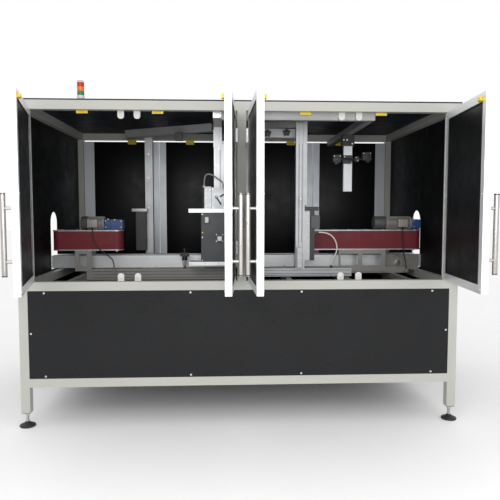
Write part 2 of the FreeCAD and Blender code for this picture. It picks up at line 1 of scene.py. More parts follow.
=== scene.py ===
import json
import math

import bmesh
import bpy
from mathutils import Matrix, Vector


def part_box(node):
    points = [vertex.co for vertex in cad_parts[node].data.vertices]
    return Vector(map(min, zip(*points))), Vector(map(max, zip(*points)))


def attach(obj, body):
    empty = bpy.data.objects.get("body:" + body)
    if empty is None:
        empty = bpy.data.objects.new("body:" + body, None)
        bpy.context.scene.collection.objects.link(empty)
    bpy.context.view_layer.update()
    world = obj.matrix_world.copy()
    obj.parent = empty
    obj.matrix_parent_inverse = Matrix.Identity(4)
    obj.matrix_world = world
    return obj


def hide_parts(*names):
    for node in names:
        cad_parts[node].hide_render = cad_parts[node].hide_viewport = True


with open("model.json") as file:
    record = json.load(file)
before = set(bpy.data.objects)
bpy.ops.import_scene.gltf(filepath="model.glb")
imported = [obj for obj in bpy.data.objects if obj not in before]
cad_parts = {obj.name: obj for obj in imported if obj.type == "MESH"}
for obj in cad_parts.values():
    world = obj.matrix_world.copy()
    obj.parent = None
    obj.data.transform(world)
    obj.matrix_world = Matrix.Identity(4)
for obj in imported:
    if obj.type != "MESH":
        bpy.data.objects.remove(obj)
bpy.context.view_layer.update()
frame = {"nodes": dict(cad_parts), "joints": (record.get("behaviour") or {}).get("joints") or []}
JOINTS = {joint["name"]: joint for joint in frame["joints"]}
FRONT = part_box("base_panel_front")[0].y - 0.001     # front face of the welded frame
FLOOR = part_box("foot_pads")[0].z
MM = 0.001
FEET = [(x, y) for x in (-1470, 1470) for y in (30, 1620)]      # middles of the levelling feet, for place()
SIDE_BELT_Y = 655                                               # middle of both grip belts, for place()


def place(x, y, z):
    """A point given in millimetres from the front face, the middle and the floor."""
    return Vector((x * MM, FRONT + y * MM, FLOOR + z * MM))


# ---- materials ----
def link(tree, source, target):
    tree.links.new(source, target)


def ramp(tree, value, low, high, start=0.3, end=0.7):
    """Spread a value between start and end over low to high."""
    node = tree.nodes.new("ShaderNodeMapRange")
    node.inputs["From Min"].default_value = start
    node.inputs["From Max"].default_value = end
    node.inputs["To Min"].default_value = low
    node.inputs["To Max"].default_value = high
    link(tree, value, node.inputs["Value"])
    return node.outputs["Result"]


def noise(tree, scale, stretch=(1, 1, 1), detail=4.0, rough=0.55):
    """A noise texture in the object's own space."""
    coords = tree.nodes.new("ShaderNodeTexCoord")
    mapping = tree.nodes.new("ShaderNodeMapping")
    mapping.inputs["Scale"].default_value = stretch
    link(tree, coords.outputs["Object"], mapping.inputs["Vector"])
    node = tree.nodes.new("ShaderNodeTexNoise")
    node.inputs["Scale"].default_value = scale
    node.inputs["Detail"].default_value = detail
    node.inputs["Roughness"].default_value = rough
    link(tree, mapping.outputs["Vector"], node.inputs["Vector"])
    return node.outputs["Fac"]


def mixed(tree, factor, first, second):
    """A colour between two others; each is a tuple or a socket."""
    node = tree.nodes.new("ShaderNodeMix")
    node.data_type = "RGBA"
    link(tree, factor, node.inputs["Factor"])
    for socket, value in ((node.inputs["A"], first), (node.inputs["B"], second)):
        if isinstance(value, tuple):
            socket.default_value = (*value, 1.0)
        else:
            link(tree, value, socket)
    return node.outputs["Result"]


def shade(color, amount):
    return tuple(min(1.0, c * amount) for c in color)


def finish(name, color, rough, metallic=0.0, coat=0.0, grain=400.0, bump=0.05, vary=0.12, stretch=(1, 1, 1),
           scuff=0.0, alpha=1.0, cells=0.0, specular=0.5):
    """A surface with soft colour drift, a fine grain in bump and roughness, and a few scuffs."""
    material = bpy.data.materials.new(name)
    material.use_nodes = True
    tree = material.node_tree
    shader = tree.nodes["Principled BSDF"]
    shader.inputs["Metallic"].default_value = metallic
    shader.inputs["Coat Weight"].default_value = coat
    shader.inputs["Coat Roughness"].default_value = 0.06
    shader.inputs["Specular IOR Level"].default_value = specular
    shader.inputs["Alpha"].default_value = alpha
    drift = noise(tree, 2.3, detail=5.0)
    tint = mixed(tree, ramp(tree, drift, 0.0, 1.0), shade(color, 1 - vary), shade(color, 1 + vary))
    fine = noise(tree, grain, stretch, detail=3.0)
    tint = mixed(tree, ramp(tree, fine, 0.0, 0.35), tint, shade(color, 1 - 2 * vary))
    if scuff:
        marks = ramp(tree, noise(tree, 34.0, (1.0, 1.0, 0.18), detail=6.0, rough=0.7), 0.0, scuff, 0.6, 0.74)
        tint = mixed(tree, marks, tint, shade(color, 0.55) if max(color) > 0.3 else shade(color, 3.0))
    link(tree, tint, shader.inputs["Base Color"])
    blotch = noise(tree, 9.0, detail=6.0, rough=0.65)
    link(tree, ramp(tree, blotch, max(0.02, rough - 0.07), min(1.0, rough + 0.1)), shader.inputs["Roughness"])
    height = fine
    if cells:
        coords = tree.nodes.new("ShaderNodeTexCoord")
        voronoi = tree.nodes.new("ShaderNodeTexVoronoi")
        voronoi.inputs["Scale"].default_value = cells
        link(tree, coords.outputs["Object"], voronoi.inputs["Vector"])
        height = voronoi.outputs["Distance"]
    relief = tree.nodes.new("ShaderNodeBump")
    relief.inputs["Strength"].default_value = bump
    relief.inputs["Distance"].default_value = 0.001
    link(tree, height, relief.inputs["Height"])
    link(tree, relief.outputs["Normal"], shader.inputs["Normal"])
    return material


ALONG_X, ALONG_Z = (0.02, 1, 1), (1, 1, 0.02)
PAINT = finish("frame_powder_coat", (0.44, 0.44, 0.405), 0.5, grain=900, bump=0.12, vary=0.035, scuff=0.12)
ROOF = finish("roof_coat", (0.012, 0.014, 0.024), 0.5, grain=700, bump=0.08, specular=0.2)
RUBBER = finish("foot_rubber", (0.02, 0.02, 0.021), 0.55, grain=500, bump=0.15, vary=0.2, scuff=0.15)
STEEL = finish("turned_steel", (0.6, 0.6, 0.59), 0.28, 1.0, grain=260, bump=0.03, stretch=ALONG_X, vary=0.06)
SMOKED = finish("smoked_panel", (0.009, 0.0095, 0.0105), 0.3, grain=160, bump=0.01, vary=0.12, scuff=0.03,
                specular=0.25)
BLACK = finish("black_panel", (0.0035, 0.0038, 0.0046), 0.5, grain=260, bump=0.02, vary=0.15, scuff=0.03,
               specular=0.12)
GLOSS = finish("door_laminate", (0.004, 0.0043, 0.005), 0.36, grain=180, bump=0.015, vary=0.15, scuff=0.03,
               specular=0.18)
WHITE = finish("white_plastic", (0.66, 0.645, 0.62), 0.45, grain=420, bump=0.05, vary=0.04, scuff=0.15)
YELLOW = finish("yellow_plastic", (0.82, 0.6, 0.02), 0.42, grain=500, bump=0.08, vary=0.08, scuff=0.15)
LIGHT_GREY = finish("light_grey_plastic", (0.5, 0.5, 0.48), 0.45, grain=420, bump=0.06, vary=0.06)
ANODISED = finish("anodised_upright", (0.86, 0.87, 0.88), 0.38, 0.55, grain=330, bump=0.03, stretch=ALONG_Z,
                  vary=0.03, scuff=0.06)
PULL = finish("brushed_pull", (0.5, 0.475, 0.445), 0.3, 1.0, grain=420, bump=0.05, stretch=ALONG_Z, vary=0.06)
EXTRUSION = finish("anodised_extrusion", (0.62, 0.63, 0.64), 0.42, 0.6, grain=380, bump=0.03, stretch=ALONG_X,
                   vary=0.05, scuff=0.14)
UPRIGHT = finish("anodised_column", (0.66, 0.67, 0.69), 0.42, 0.5, grain=380, bump=0.03, stretch=ALONG_Z,
                 vary=0.05, scuff=0.1)
DULL_GREY = finish("overhead_grey", (0.32, 0.32, 0.325), 0.5, 0.3, grain=600, bump=0.08, vary=0.08, scuff=0.1)
CHAIN = finish("chain_plastic", (0.2, 0.2, 0.205), 0.5, grain=300, bump=0.08, vary=0.12, scuff=0.3)
RED = finish("red_belt_rubber", (0.17, 0.013, 0.022), 0.62, grain=260, bump=0.35, vary=0.18, scuff=0.25,
             cells=150)
# rear door aluminium: a darker, bluish copy of the front doors' anodised aluminium, painted shade for the
# dimmer back of the cell
SHADED_REAR_ALU = finish("anodised_rear_painted_shade", (0.62, 0.65, 0.69), 0.42, 0.6, grain=330, bump=0.03, stretch=ALONG_Z,
                  vary=0.04, scuff=0.06)
COLUMN = finish("gantry_column", (0.42, 0.43, 0.44), 0.45, 0.5, grain=380, bump=0.03, stretch=ALONG_Z,
                vary=0.06, scuff=0.12)
BRACKET = finish("bracket_paint", (0.27, 0.26, 0.245), 0.5, 0.2, grain=500, bump=0.08, vary=0.08, scuff=0.15)
HEAD_PLATE = finish("head_panel", (0.42, 0.43, 0.44), 0.4, 0.6, grain=320, bump=0.03, stretch=ALONG_Z,
                    vary=0.05, scuff=0.08)
SIDE_PLATE = finish("sawn_plate", (0.5, 0.51, 0.52), 0.42, 0.7, grain=300, bump=0.04, stretch=ALONG_X,
                    vary=0.06, scuff=0.12)
BLUE = finish("blue_enamel", (0.018, 0.055, 0.2), 0.34, coat=0.3, grain=340, bump=0.1, vary=0.14, scuff=0.12)
MOTOR = finish("motor_enamel", (0.3, 0.285, 0.265), 0.48, 0.15, grain=420, bump=0.14, vary=0.1, scuff=0.2)
COWL = finish("fan_cowl", (0.07, 0.07, 0.068), 0.5, grain=420, bump=0.12, vary=0.12, scuff=0.2)
SHEATH = finish("black_sheath", (0.013, 0.013, 0.014), 0.42, grain=600, bump=0.08, vary=0.2)
GREY_SHEATH = finish("corrugated_sheath", (0.26, 0.26, 0.26), 0.45, grain=600, bump=0.06, vary=0.1)
PALE_HOSE = finish("pale_hose", (0.58, 0.58, 0.55), 0.4, grain=600, bump=0.05, vary=0.06)
INSTRUMENT = finish("instrument_case", (0.05, 0.054, 0.06), 0.5, grain=900, bump=0.14, vary=0.1, scuff=0.1)
MOULDED = finish("black_moulding", (0.014, 0.014, 0.015), 0.4, grain=700, bump=0.1, vary=0.2, scuff=0.12)
BRIGHT = finish("white_plate", (0.86, 0.87, 0.88), 0.36, 0.35, grain=300, bump=0.03, stretch=ALONG_X,
                vary=0.03)
LENS_COLORS = {"green": (0.01, 0.2, 0.07), "orange": (0.75, 0.2, 0.02), "red": (0.55, 0.015, 0.02)}
LENSES = [finish(f"{name}_lens", color, 0.18, coat=0.4, grain=220, bump=0.05, vary=0.1)
          for name, color in LENS_COLORS.items()]
BOWL = finish("clear_bowl", (0.85, 0.87, 0.88), 0.08, coat=0.2, grain=200, bump=0.02, vary=0.04, alpha=0.35)

# each door leaf: the side of its pin that it hangs on, and its turn from shut in degrees
DOORS = {"left_outer": (1, -76.9), "left_inner": (-1, 87.0), "right_inner": (1, -88.4),
         "right_outer": (-1, 85.1)}
CAD_FINISH = {
    PAINT: ["frame_posts", "frame_beams"], ROOF: ["roof_sheet"], RUBBER: ["foot_pads"],
    STEEL: ["foot_stems", "base_panel_screws", "conveyor_drive", "left_grip_roller", "right_grip_roller"],
    SMOKED: ["base_panel_front"], BLACK: ["base_panels_sides", "side_panels"], WHITE: ["door_stops"],
    YELLOW: ["door_switches"], LIGHT_GREY: ["signal_tower_body"],
    ANODISED: [f"door_{d}_frame" for d in DOORS], SHADED_REAR_ALU: [f"rear_door_{d}" for d in DOORS],
    GLOSS: [f"door_{d}_panel" for d in DOORS], PULL: [f"door_{d}_handle" for d in DOORS],
    EXTRUSION: ["conveyor_rails"], BRACKET: ["conveyor_supports"], COLUMN: ["profile_columns"],
    UPRIGHT: ["head_column", "sensor_column"], HEAD_PLATE: ["head_bracket"], DULL_GREY: ["overhead_beams"],
    CHAIN: ["conveyor_chain"], RED: ["left_grip_belt", "right_grip_belt"],
    SIDE_PLATE: ["left_grip_plates", "right_grip_plates"], COWL: ["slide_carriage"],
    BLUE: ["left_gearbox", "right_gearbox"],
    MOTOR: ["left_motor", "right_motor"], BRIGHT: ["head_plates"], INSTRUMENT: ["head_box"],
    MOULDED: ["clamp_lever", "sensor_clamps", "black_fittings", "star_knob_left", "star_knob_right"],
    SHEATH: ["left_motor_cable", "right_motor_cable"], GREY_SHEATH: ["head_cable"], PALE_HOSE: ["slide_hose"],
    LENSES[0]: ["signal_tower_lenses"],
}
for material, names in CAD_FINISH.items():
    for name in names:
        mesh = frame["nodes"][name].data
        if not mesh.materials:
            mesh.materials.append(material)
        for index in range(len(mesh.materials)):
            mesh.materials[index] = material


# ---- mesh helpers ----
def block(bm, low, high, bevel=0.0, slot=0, matrix=None):
    """A box with softened edges, added to a mesh."""
    size = [b - a for a, b in zip(low, high)]
    centre = [(a + b) / 2 for a, b in zip(low, high)]
    fit = Matrix.Translation(centre) @ Matrix.Diagonal((*size, 1))
    verts = bmesh.ops.create_cube(bm, size=1.0, matrix=fit)["verts"]
    faces = {face for vert in verts for face in vert.link_faces}
    if bevel:
        edges = {edge for vert in verts for edge in vert.link_edges}
        result = bmesh.ops.bevel(bm, geom=list(edges), offset=bevel, segments=2, affect="EDGES", profile=0.6)
        faces |= set(result["faces"])
        faces = {face for face in faces if face.is_valid}
        verts = list({vert for face in faces for vert in face.verts})
    for face in faces:
        face.material_index = slot
    if matrix is not None:
        bmesh.ops.transform(bm, matrix=matrix, verts=verts)


AXES = {"z": Matrix.Identity(4), "x": Matrix.Rotation(math.radians(90), 4, "Y"),
        "y": Matrix.Rotation(math.radians(-90), 4, "X")}


def lathe(bm, outline, origin, axis="z", steps=32, slot=0, matrix=None):
    """A turned form: outline points are (radius, height) along the axis from the origin."""
    turn = Matrix.Translation(origin) @ AXES[axis]
    if matrix is not None:
        turn = matrix @ turn
    rings = []
    for radius, height in outline:
        if radius < 1e-6:
            rings.append([bm.verts.new(turn @ Vector((0, 0, height)))])
            continue
        rings.append([bm.verts.new(turn @ Vector((radius * math.cos(a), radius * math.sin(a), height)))
                      for a in (2 * math.pi * i / steps for i in range(steps))])
    for lower, upper in zip(rings, rings[1:]):
        for i in range(steps):
            j = (i + 1) % steps
            corners = [ring[k % len(ring)] for ring, k in ((lower, i), (lower, j), (upper, j), (upper, i))]
            unique = list(dict.fromkeys(corners))
            if len(unique) > 2:
                face = bm.faces.new(unique)
                face.material_index = slot
                face.smooth = True


def piece(name, bm, materials, body, sharp=35.0):
    """Turn a mesh into a piece that rides on a body."""
    bmesh.ops.recalc_face_normals(bm, faces=bm.faces)
    mesh = bpy.data.meshes.new(name)
    bm.to_mesh(mesh)
    bm.free()
    for material in materials:
        mesh.materials.append(material)
    mesh.shade_smooth()
    mesh.set_sharp_from_angle(angle=math.radians(sharp))
    obj = bpy.data.objects.new(name, mesh)
    bpy.context.scene.collection.objects.link(obj)
    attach(obj, body)
    return obj


def cap_screw(bm, at, axis="y", radius=0.006, slot=0, matrix=None, flip=False):
    """A socket head screw standing on a face; it points along the axis, or against it when flipped."""
    tall = radius * 1.1
    sign = -1 if flip else 1
    outline = [(0, 0), (radius, 0), (radius, tall * 0.8), (radius * 0.86, tall), (radius * 0.5, tall),
               (radius * 0.46, tall * 0.45), (0, tall * 0.45)]
    lathe(bm, [(r, sign * h) for r, h in outline], at, axis, 16, slot, matrix)


# ---- doors: pull caps, seals, coded actuators and panel skins ----
STILE, FREE_EDGE = 0.05, 0.702
REAR_HINGE_STILE, REAR_FREE_STILE, REAR_GAP = 0.095, 0.062, 0.012
DOOR_LOW, DOOR_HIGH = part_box("door_left_inner_frame")[0].z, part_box("door_left_inner_frame")[1].z
SEAL_WIDE, SEAL_THICK = 0.007, 0.0035
PULL_RADIUS = 0.0148
PULL_POST = 0.0835                       # from the end of a pull to the middle of its post
PULL_IN, PULL_OUT = 0.668, 0.037         # from the pin along the door, and out from it


def door_matrix(name, rear=False):
    """From a door drawn shut, with its pin on the Z axis, to where it stands."""
    joint = JOINTS[("rear_" if rear else "") + name + "_swing"]
    turn = 0 if rear else DOORS[name][1]
    x, y, _ = joint["pos_m"]
    return Matrix.Translation((x, y, 0)) @ Matrix.Rotation(math.radians(turn), 4, "Z")


def strip(bm, side, start, end, depth, low, high, bevel, slot, matrix):
    """A block between two distances from the pin, on a left or right hung door."""
    xs = sorted((side * start, side * end))
    block(bm, (xs[0], depth[0], low), (xs[1], depth[1], high), bevel, slot, matrix)


def seal(bm, side, inner, heights, face, slot, matrix):
    """The rubber glazing seal all round a door's panel."""
    near, far = inner
    low, high = heights
    depth = (face, face + SEAL_THICK)
    for start, end, bottom, top in ((near - 0.001, near + SEAL_WIDE, low, high),
                                    (far - SEAL_WIDE, far + 0.001, low, high),
                                    (near + SEAL_WIDE, far - SEAL_WIDE, low, low + SEAL_WIDE),
                                    (near + SEAL_WIDE, far - SEAL_WIDE, high - SEAL_WIDE, high)):
        strip(bm, side, start, end, depth, bottom, top, 0.0008, slot, matrix)


def pull_caps(bm, side, out, low, high, slot, matrix):
    """Domed black plugs in both ends of a pull."""
    x, y = side * PULL_IN, out * PULL_OUT
    r, tall = PULL_RADIUS, 0.0075
    dome = [(0, -0.001), (r * 0.98, -0.001), (r + 0.0006, 0.0005), (r + 0.0006, 0.004), (r * 0.9, 0.0062),
            (0, tall)]
    lathe(bm, dome, (x, y, high - tall), "z", 32, slot, matrix)
    lathe(bm, [(radius, -height) for radius, height in dome], (x, y, low + tall), "z", 32, slot, matrix)


def door_trim():
    """The loose pieces of all eight doors, each built on a door drawn shut."""
    grip_low, grip_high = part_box("door_left_inner_handle")[0].z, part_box("door_left_inner_handle")[1].z
    for name, (side, _) in DOORS.items():
        matrix = door_matrix(name)
        bm = bmesh.new()
        opening = (STILE + 0.002, FREE_EDGE - STILE)
        heights = (DOOR_LOW + STILE, DOOR_HIGH - STILE)
        seal(bm, side, opening, heights, 0.0478, 0, matrix)
        seal(bm, side, opening, heights, 0.0088, 0, matrix)
        pull_caps(bm, side, -1, grip_low, grip_high, 0, matrix)
        piece(f"door_{name}_rubber", bm, [MOULDED], f"door_{name}")
        bm = bmesh.new()
        strip(bm, side, 0.604, 0.672, (0.05, 0.056), DOOR_HIGH - 0.052, DOOR_HIGH - 0.022, 0.0015, 0, matrix)
        strip(bm, side, 0.614, 0.662, (0.056, 0.069), DOOR_HIGH - 0.048, DOOR_HIGH - 0.026, 0.003, 0, matrix)
        piece(f"door_{name}_actuator", bm, [YELLOW], f"door_{name}")
        bm = bmesh.new()
        for height in (grip_low + PULL_POST, grip_high - PULL_POST):
            lathe(bm, [(0.009, 0), (0.0145, 0), (0.0145, 0.0025), (0.0125, 0.0045), (0.009, 0.0045)],
                  (side * PULL_IN, 0.01, height), "y", 32, 0, matrix @ Matrix.Scale(-1, 4, (0, 1, 0))
                  @ Matrix.Translation((0, -0.02, 0)))
        for height in (DOOR_LOW + 0.025, (DOOR_LOW + DOOR_HIGH) / 2, DOOR_HIGH - 0.025):
            for along in (0.027, 0.677):
                cap_screw(bm, (side * along, 0.05, height), "y", 0.004, 0, matrix)
        piece(f"door_{name}_screws", bm, [STEEL], f"door_{name}")
    for name, (side, _) in DOORS.items():
        matrix = door_matrix(name, rear=True)
        bm = bmesh.new()
        opening = (REAR_HINGE_STILE + 0.001, FREE_EDGE - REAR_FREE_STILE - 0.001)
        low, high = DOOR_LOW + 0.002, DOOR_HIGH - REAR_GAP - 0.002
        strip(bm, side, *opening, (-0.0525, -0.0485), low, high, 0.0008, 0, matrix)
        heights = (DOOR_LOW + STILE, DOOR_HIGH - REAR_GAP - STILE)
        strip(bm, side, *opening, (-0.0145, -0.0125), *heights, 0.0006, 0, matrix)
        seal(bm, side, opening, heights, -0.0128, 1, matrix)
        pull_caps(bm, side, 1, grip_low, grip_high, 1, matrix)
        piece(f"rear_door_{name}_skins", bm, [GLOSS, MOULDED], f"rear_{name}")


# ---- signal tower ----
def signal_tower():
    """Ribbed lenses in place of the plain CAD ones, with a cap and a collar."""
    low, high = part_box("signal_tower_lenses")
    centre = ((low.x + high.x) / 2, (low.y + high.y) / 2)
    third = (high.z - low.z) / 3
    radius = (high.x - low.x) / 2
    bm = bmesh.new()
    ribs = 9
    for i in range(3):
        outline = [(0, 0), (radius * 0.9, 0)]
        for k in range(ribs):
            base = 0.0015 + k * (third - 0.003) / ribs
            step = (third - 0.003) / ribs
            outline += [(radius - 0.0012, base), (radius, base + step * 0.25), (radius, base + step * 0.7),
                        (radius - 0.0012, base + step * 0.95)]
        outline += [(radius * 0.9, third), (0, third)]
        lathe(bm, outline, (*centre, low.z + i * third), "z", 48, i)
    lens = piece("tower_lenses", bm, LENSES, "cell", sharp=50)
    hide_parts("signal_tower_lenses")
    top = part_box("signal_tower_body")[1].z
    bm = bmesh.new()
    cap = [(radius, 0), (radius, 0.003), (radius * 0.8, 0.0065), (0, 0.008)]
    collar = [(radius + 0.001, 0), (radius + 0.004, 0.0005), (radius + 0.004, 0.004),
              (radius + 0.001, 0.0055)]
    lathe(bm, cap, (*centre, top - 0.0035), "z", 48)
    lathe(bm, collar, (*centre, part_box("signal_tower_body")[0].z), "z", 48)
    piece("tower_trim", bm, [MOULDED], "cell")


# ---- gearmotors ----
def gearmotor(name, gland_x, cowl_long):
    """A finned motor with its fan cowl, terminal box and gland in place of the plain CAD motor."""
    low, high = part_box(f"{name}_motor")
    gear_low, gear_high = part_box(f"{name}_gearbox")
    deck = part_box(f"{name}_grip_plates")[1].z
    y, z = place(0, SIDE_BELT_Y, 0).y, deck + 0.054
    radius = 0.052
    start, end = low.x + cowl_long, high.x
    bm = bmesh.new()
    core = end - start - 0.008
    lathe(bm, [(0, 0), (0.043, 0), (0.043, core), (0, core)], (start, y, z), "x", 40)
    for i in range(36):
        fin = Matrix.Translation((0, y, z)) @ Matrix.Rotation(2 * math.pi * i / 36, 4, "X")
        block(bm, (start + 0.012, -0.0011, 0.041), (end - 0.014, 0.0011, radius - 0.0006), 0.0005, 0, fin)
    for at, wide in ((start + 0.002, 0.012), (end - 0.013, 0.012)):
        lathe(bm, [(0.03, 0), (radius - 0.002, 0), (radius, 0.002), (radius, wide - 0.002),
                   (radius - 0.002, wide), (0.03, wide)], (at, y, z), "x", 48)
    for i in range(4):
        angle = math.radians(45 + 90 * i)
        cap_screw(bm, (end - 0.007, y + 0.043 * math.cos(angle), z + 0.043 * math.sin(angle)), "x", 0.0045, 2)
    box_low, box_high = low.y, low.y + 0.034
    gland = place(gland_x, 580, 0)
    left = gland.x - 0.036
    block(bm, (left, box_low + 0.006, z - 0.03), (left + 0.074, box_high, z + 0.028), 0.005)
    block(bm, (left - 0.0015, box_low, z - 0.0315), (left + 0.0755, box_low + 0.007, z + 0.0295), 0.003)
    for dx in (0.007, 0.067):
        for dz in (-0.024, 0.022):
            cap_screw(bm, (left + dx, box_low + 0.0005, z + dz), "y", 0.0035, 2, flip=True)
    nut = [(0.0042, 0), (0.0062, 0), (0.0078, 0.004), (0.0078, 0.009), (0.0062, 0.0095), (0.0062, 0.018)]
    lathe(bm, nut, (gland.x, gland.y, z - 0.047), "z", 24, 3)
    edge = cowl_long - 0.002
    shell = [(0, 0.0015), (0.012, 0.001), (0.012, 0), (0.044, 0.0005), (0.0505, 0.003), (0.053, 0.008),
             (0.053, edge), (0.0505, edge + 0.002), (0.04, edge + 0.002)]
    lathe(bm, shell, (low.x, y, z), "x", 48, 1)
    for ring in (0.02, 0.028, 0.036):
        lathe(bm, [(ring, 0.001), (ring, -0.0008), (ring + 0.0035, -0.0008), (ring + 0.0035, 0.001)],
              (low.x + 0.0008, y, z), "x", 40, 1)
    motor = piece(f"{name}_motor_finned", bm, [MOTOR, COWL, STEEL, MOULDED], "cell")
    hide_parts(f"{name}_motor")
    bm = bmesh.new()
    face_y = y - 0.046
    long = gear_high.x - gear_low.x
    for x in (gear_low.x + 0.014, gear_high.x - 0.014):
        for up in (0.012, 0.058):
            cap_screw(bm, (x, face_y, gear_high.z - 0.07 + up), "y", 0.005, 0, flip=True)
    lathe(bm, [(0, 0.007), (0.009, 0.007), (0.012, 0.004), (0.012, -0.001)],
          (gear_low.x + 0.022, y, gear_high.z), "z", 24)
    lathe(bm, [(0.014, -0.001), (0.02, -0.001), (0.02, 0.0015), (0.014, 0.0015)],
          ((gear_low.x + gear_high.x) / 2, y, gear_high.z), "z", 32)
    piece(f"{name}_gearbox_screws", bm, [STEEL], "cell")
    bm = bmesh.new()
    side_low = gear_high.z - 0.056
    ribs = int((long - 0.036) / 0.017)
    for i in range(ribs):
        x = gear_low.x + 0.022 + i * 0.017
        block(bm, (x, face_y - 0.0035, side_low), (x + 0.006, face_y + 0.001, side_low + 0.034), 0.0012)
    piece(f"{name}_gearbox_ribs", bm, [BLUE], "cell")


# ---- grip belts ----
def grip_belt(name):
    """The belt as one band with rounded lips and a fine cleat pattern."""
    low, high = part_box(f"{name}_grip_belt")
    radius = (high.y - low.y) / 2
    y = (low.y + high.y) / 2
    straight = high.x - low.x - 2 * radius
    gauge = 0.005
    arc, run = 30, max(2, int(straight / 0.012))
    path = []
    for i in range(run):
        path.append((low.x + radius + straight * i / run, y - radius, 0, -1))
    for i in range(arc):
        a = -math.pi / 2 + math.pi * i / arc
        out, across = math.cos(a), math.sin(a)
        path.append((high.x - radius + radius * out, y + radius * across, out, across))
    for i in range(run):
        path.append((high.x - radius - straight * i / run, y + radius, 0, 1))
    for i in range(arc):
        a = math.pi / 2 + math.pi * i / arc
        out, across = math.cos(a), math.sin(a)
        path.append((low.x + radius + radius * out, y + radius * across, out, across))
    tall = high.z - low.z
    lip = 0.0018
    section = [(-gauge, 0.0006), (-lip, 0.0), (-0.0004, lip)]
    grooves = 5
    for k in range(1, grooves + 1):
        level = tall * k / (grooves + 1)
        section += [(-0.0002, level - 0.0022), (-0.0016, level - 0.0012), (-0.0016, level + 0.0012),
                    (-0.0002, level + 0.0022)]
    section += [(-0.0004, tall - lip), (-lip, tall), (-gauge, tall - 0.0006)]
    bm = bmesh.new()
    loops = []
    for x, y_at, nx, ny in path:
        loops.append([bm.verts.new((x + nx * out, y_at + ny * out, low.z + up)) for out, up in section])
    for first, second in zip(loops, loops[1:] + loops[:1]):
        for i in range(len(section)):
            j = (i + 1) % len(section)
            bm.faces.new((first[i], first[j], second[j], second[i]))
    belt = piece(f"{name}_belt_band", bm, [RED], "cell")
    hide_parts(f"{name}_grip_belt")
    plate_low, plate_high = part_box(f"{name}_grip_plates")
    bm = bmesh.new()
    count = max(3, int(straight / 0.12))
    for i in range(count + 1):
        x = low.x + radius + straight * i / count
        for y_screw in (y - radius + 0.009, y + radius - 0.009):
            cap_screw(bm, (x, y_screw, plate_high.z), "z", 0.0045)
        if i % 2 == 0:
            cap_screw(bm, (x, y - radius + 0.012, plate_low.z), "z", 0.0045, flip=True)
    piece(f"{name}_belt_screws", bm, [STEEL], "cell")


# ---- conveyor ----
def conveyor():
    """Chain slats in place of the plain slab, wear strips, screws and the drive's bearing."""
    low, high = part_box("conveyor_chain")
    pitch, gap = 0.0381, 0.0016
    count = int((high.x - low.x) / pitch)
    bm = bmesh.new()
    for i in range(count):
        x = low.x + i * pitch
        block(bm, (x + gap, low.y, high.z - 0.005), (x + pitch, high.y, high.z), 0.0012)
        for k in range(3):
            knuckle = low.y + 0.024 + 0.028 * k
            block(bm, (x - 0.004, knuckle, low.z), (x + 0.022, knuckle + 0.012, high.z - 0.0045), 0.001)
    chain = piece("chain_slats", bm, [CHAIN], "cell")
    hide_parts("conveyor_chain")
    rail_low, rail_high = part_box("conveyor_rails")
    bm = bmesh.new()
    for y in (low.y - 0.036, high.y - 0.006):
        block(bm, (rail_low.x + 0.01, y, rail_high.z),
              (rail_high.x - 0.01, y + 0.032, rail_high.z + 0.003), 0.001)
    for i in range(20):
        x = rail_low.x + 0.09 + i * 0.147
        cap_screw(bm, (x, rail_low.y, rail_low.z + 0.012), "y", 0.005, 1, flip=True)
    for i in range(10):
        x = rail_low.x + 0.16 + i * 0.294
        cap_screw(bm, (x, rail_low.y, rail_high.z - 0.018), "y", 0.0065, 1, flip=True)
    piece("rail_wear_strips", bm, [CHAIN, STEEL], "cell")
    bm = bmesh.new()
    centre = tuple(place(1286, 682, 1056))
    hub = [(0.0128, -0.001), (0.021, -0.001), (0.023, -0.003), (0.023, -0.006), (0.0128, -0.007)]
    lathe(bm, hub, centre, "y", 40)
    lathe(bm, [(0.05, 0.0005), (0.05, -0.003), (0.0565, -0.003), (0.0578, 0.0005)], centre, "y", 48)
    for i in range(6):
        angle = math.radians(60 * i)
        cap_screw(bm, (centre[0] + 0.04 * math.cos(angle), centre[1], centre[2] + 0.04 * math.sin(angle)),
                  "y", 0.0045, 0, flip=True)
    piece("drive_bearing", bm, [STEEL], "cell")


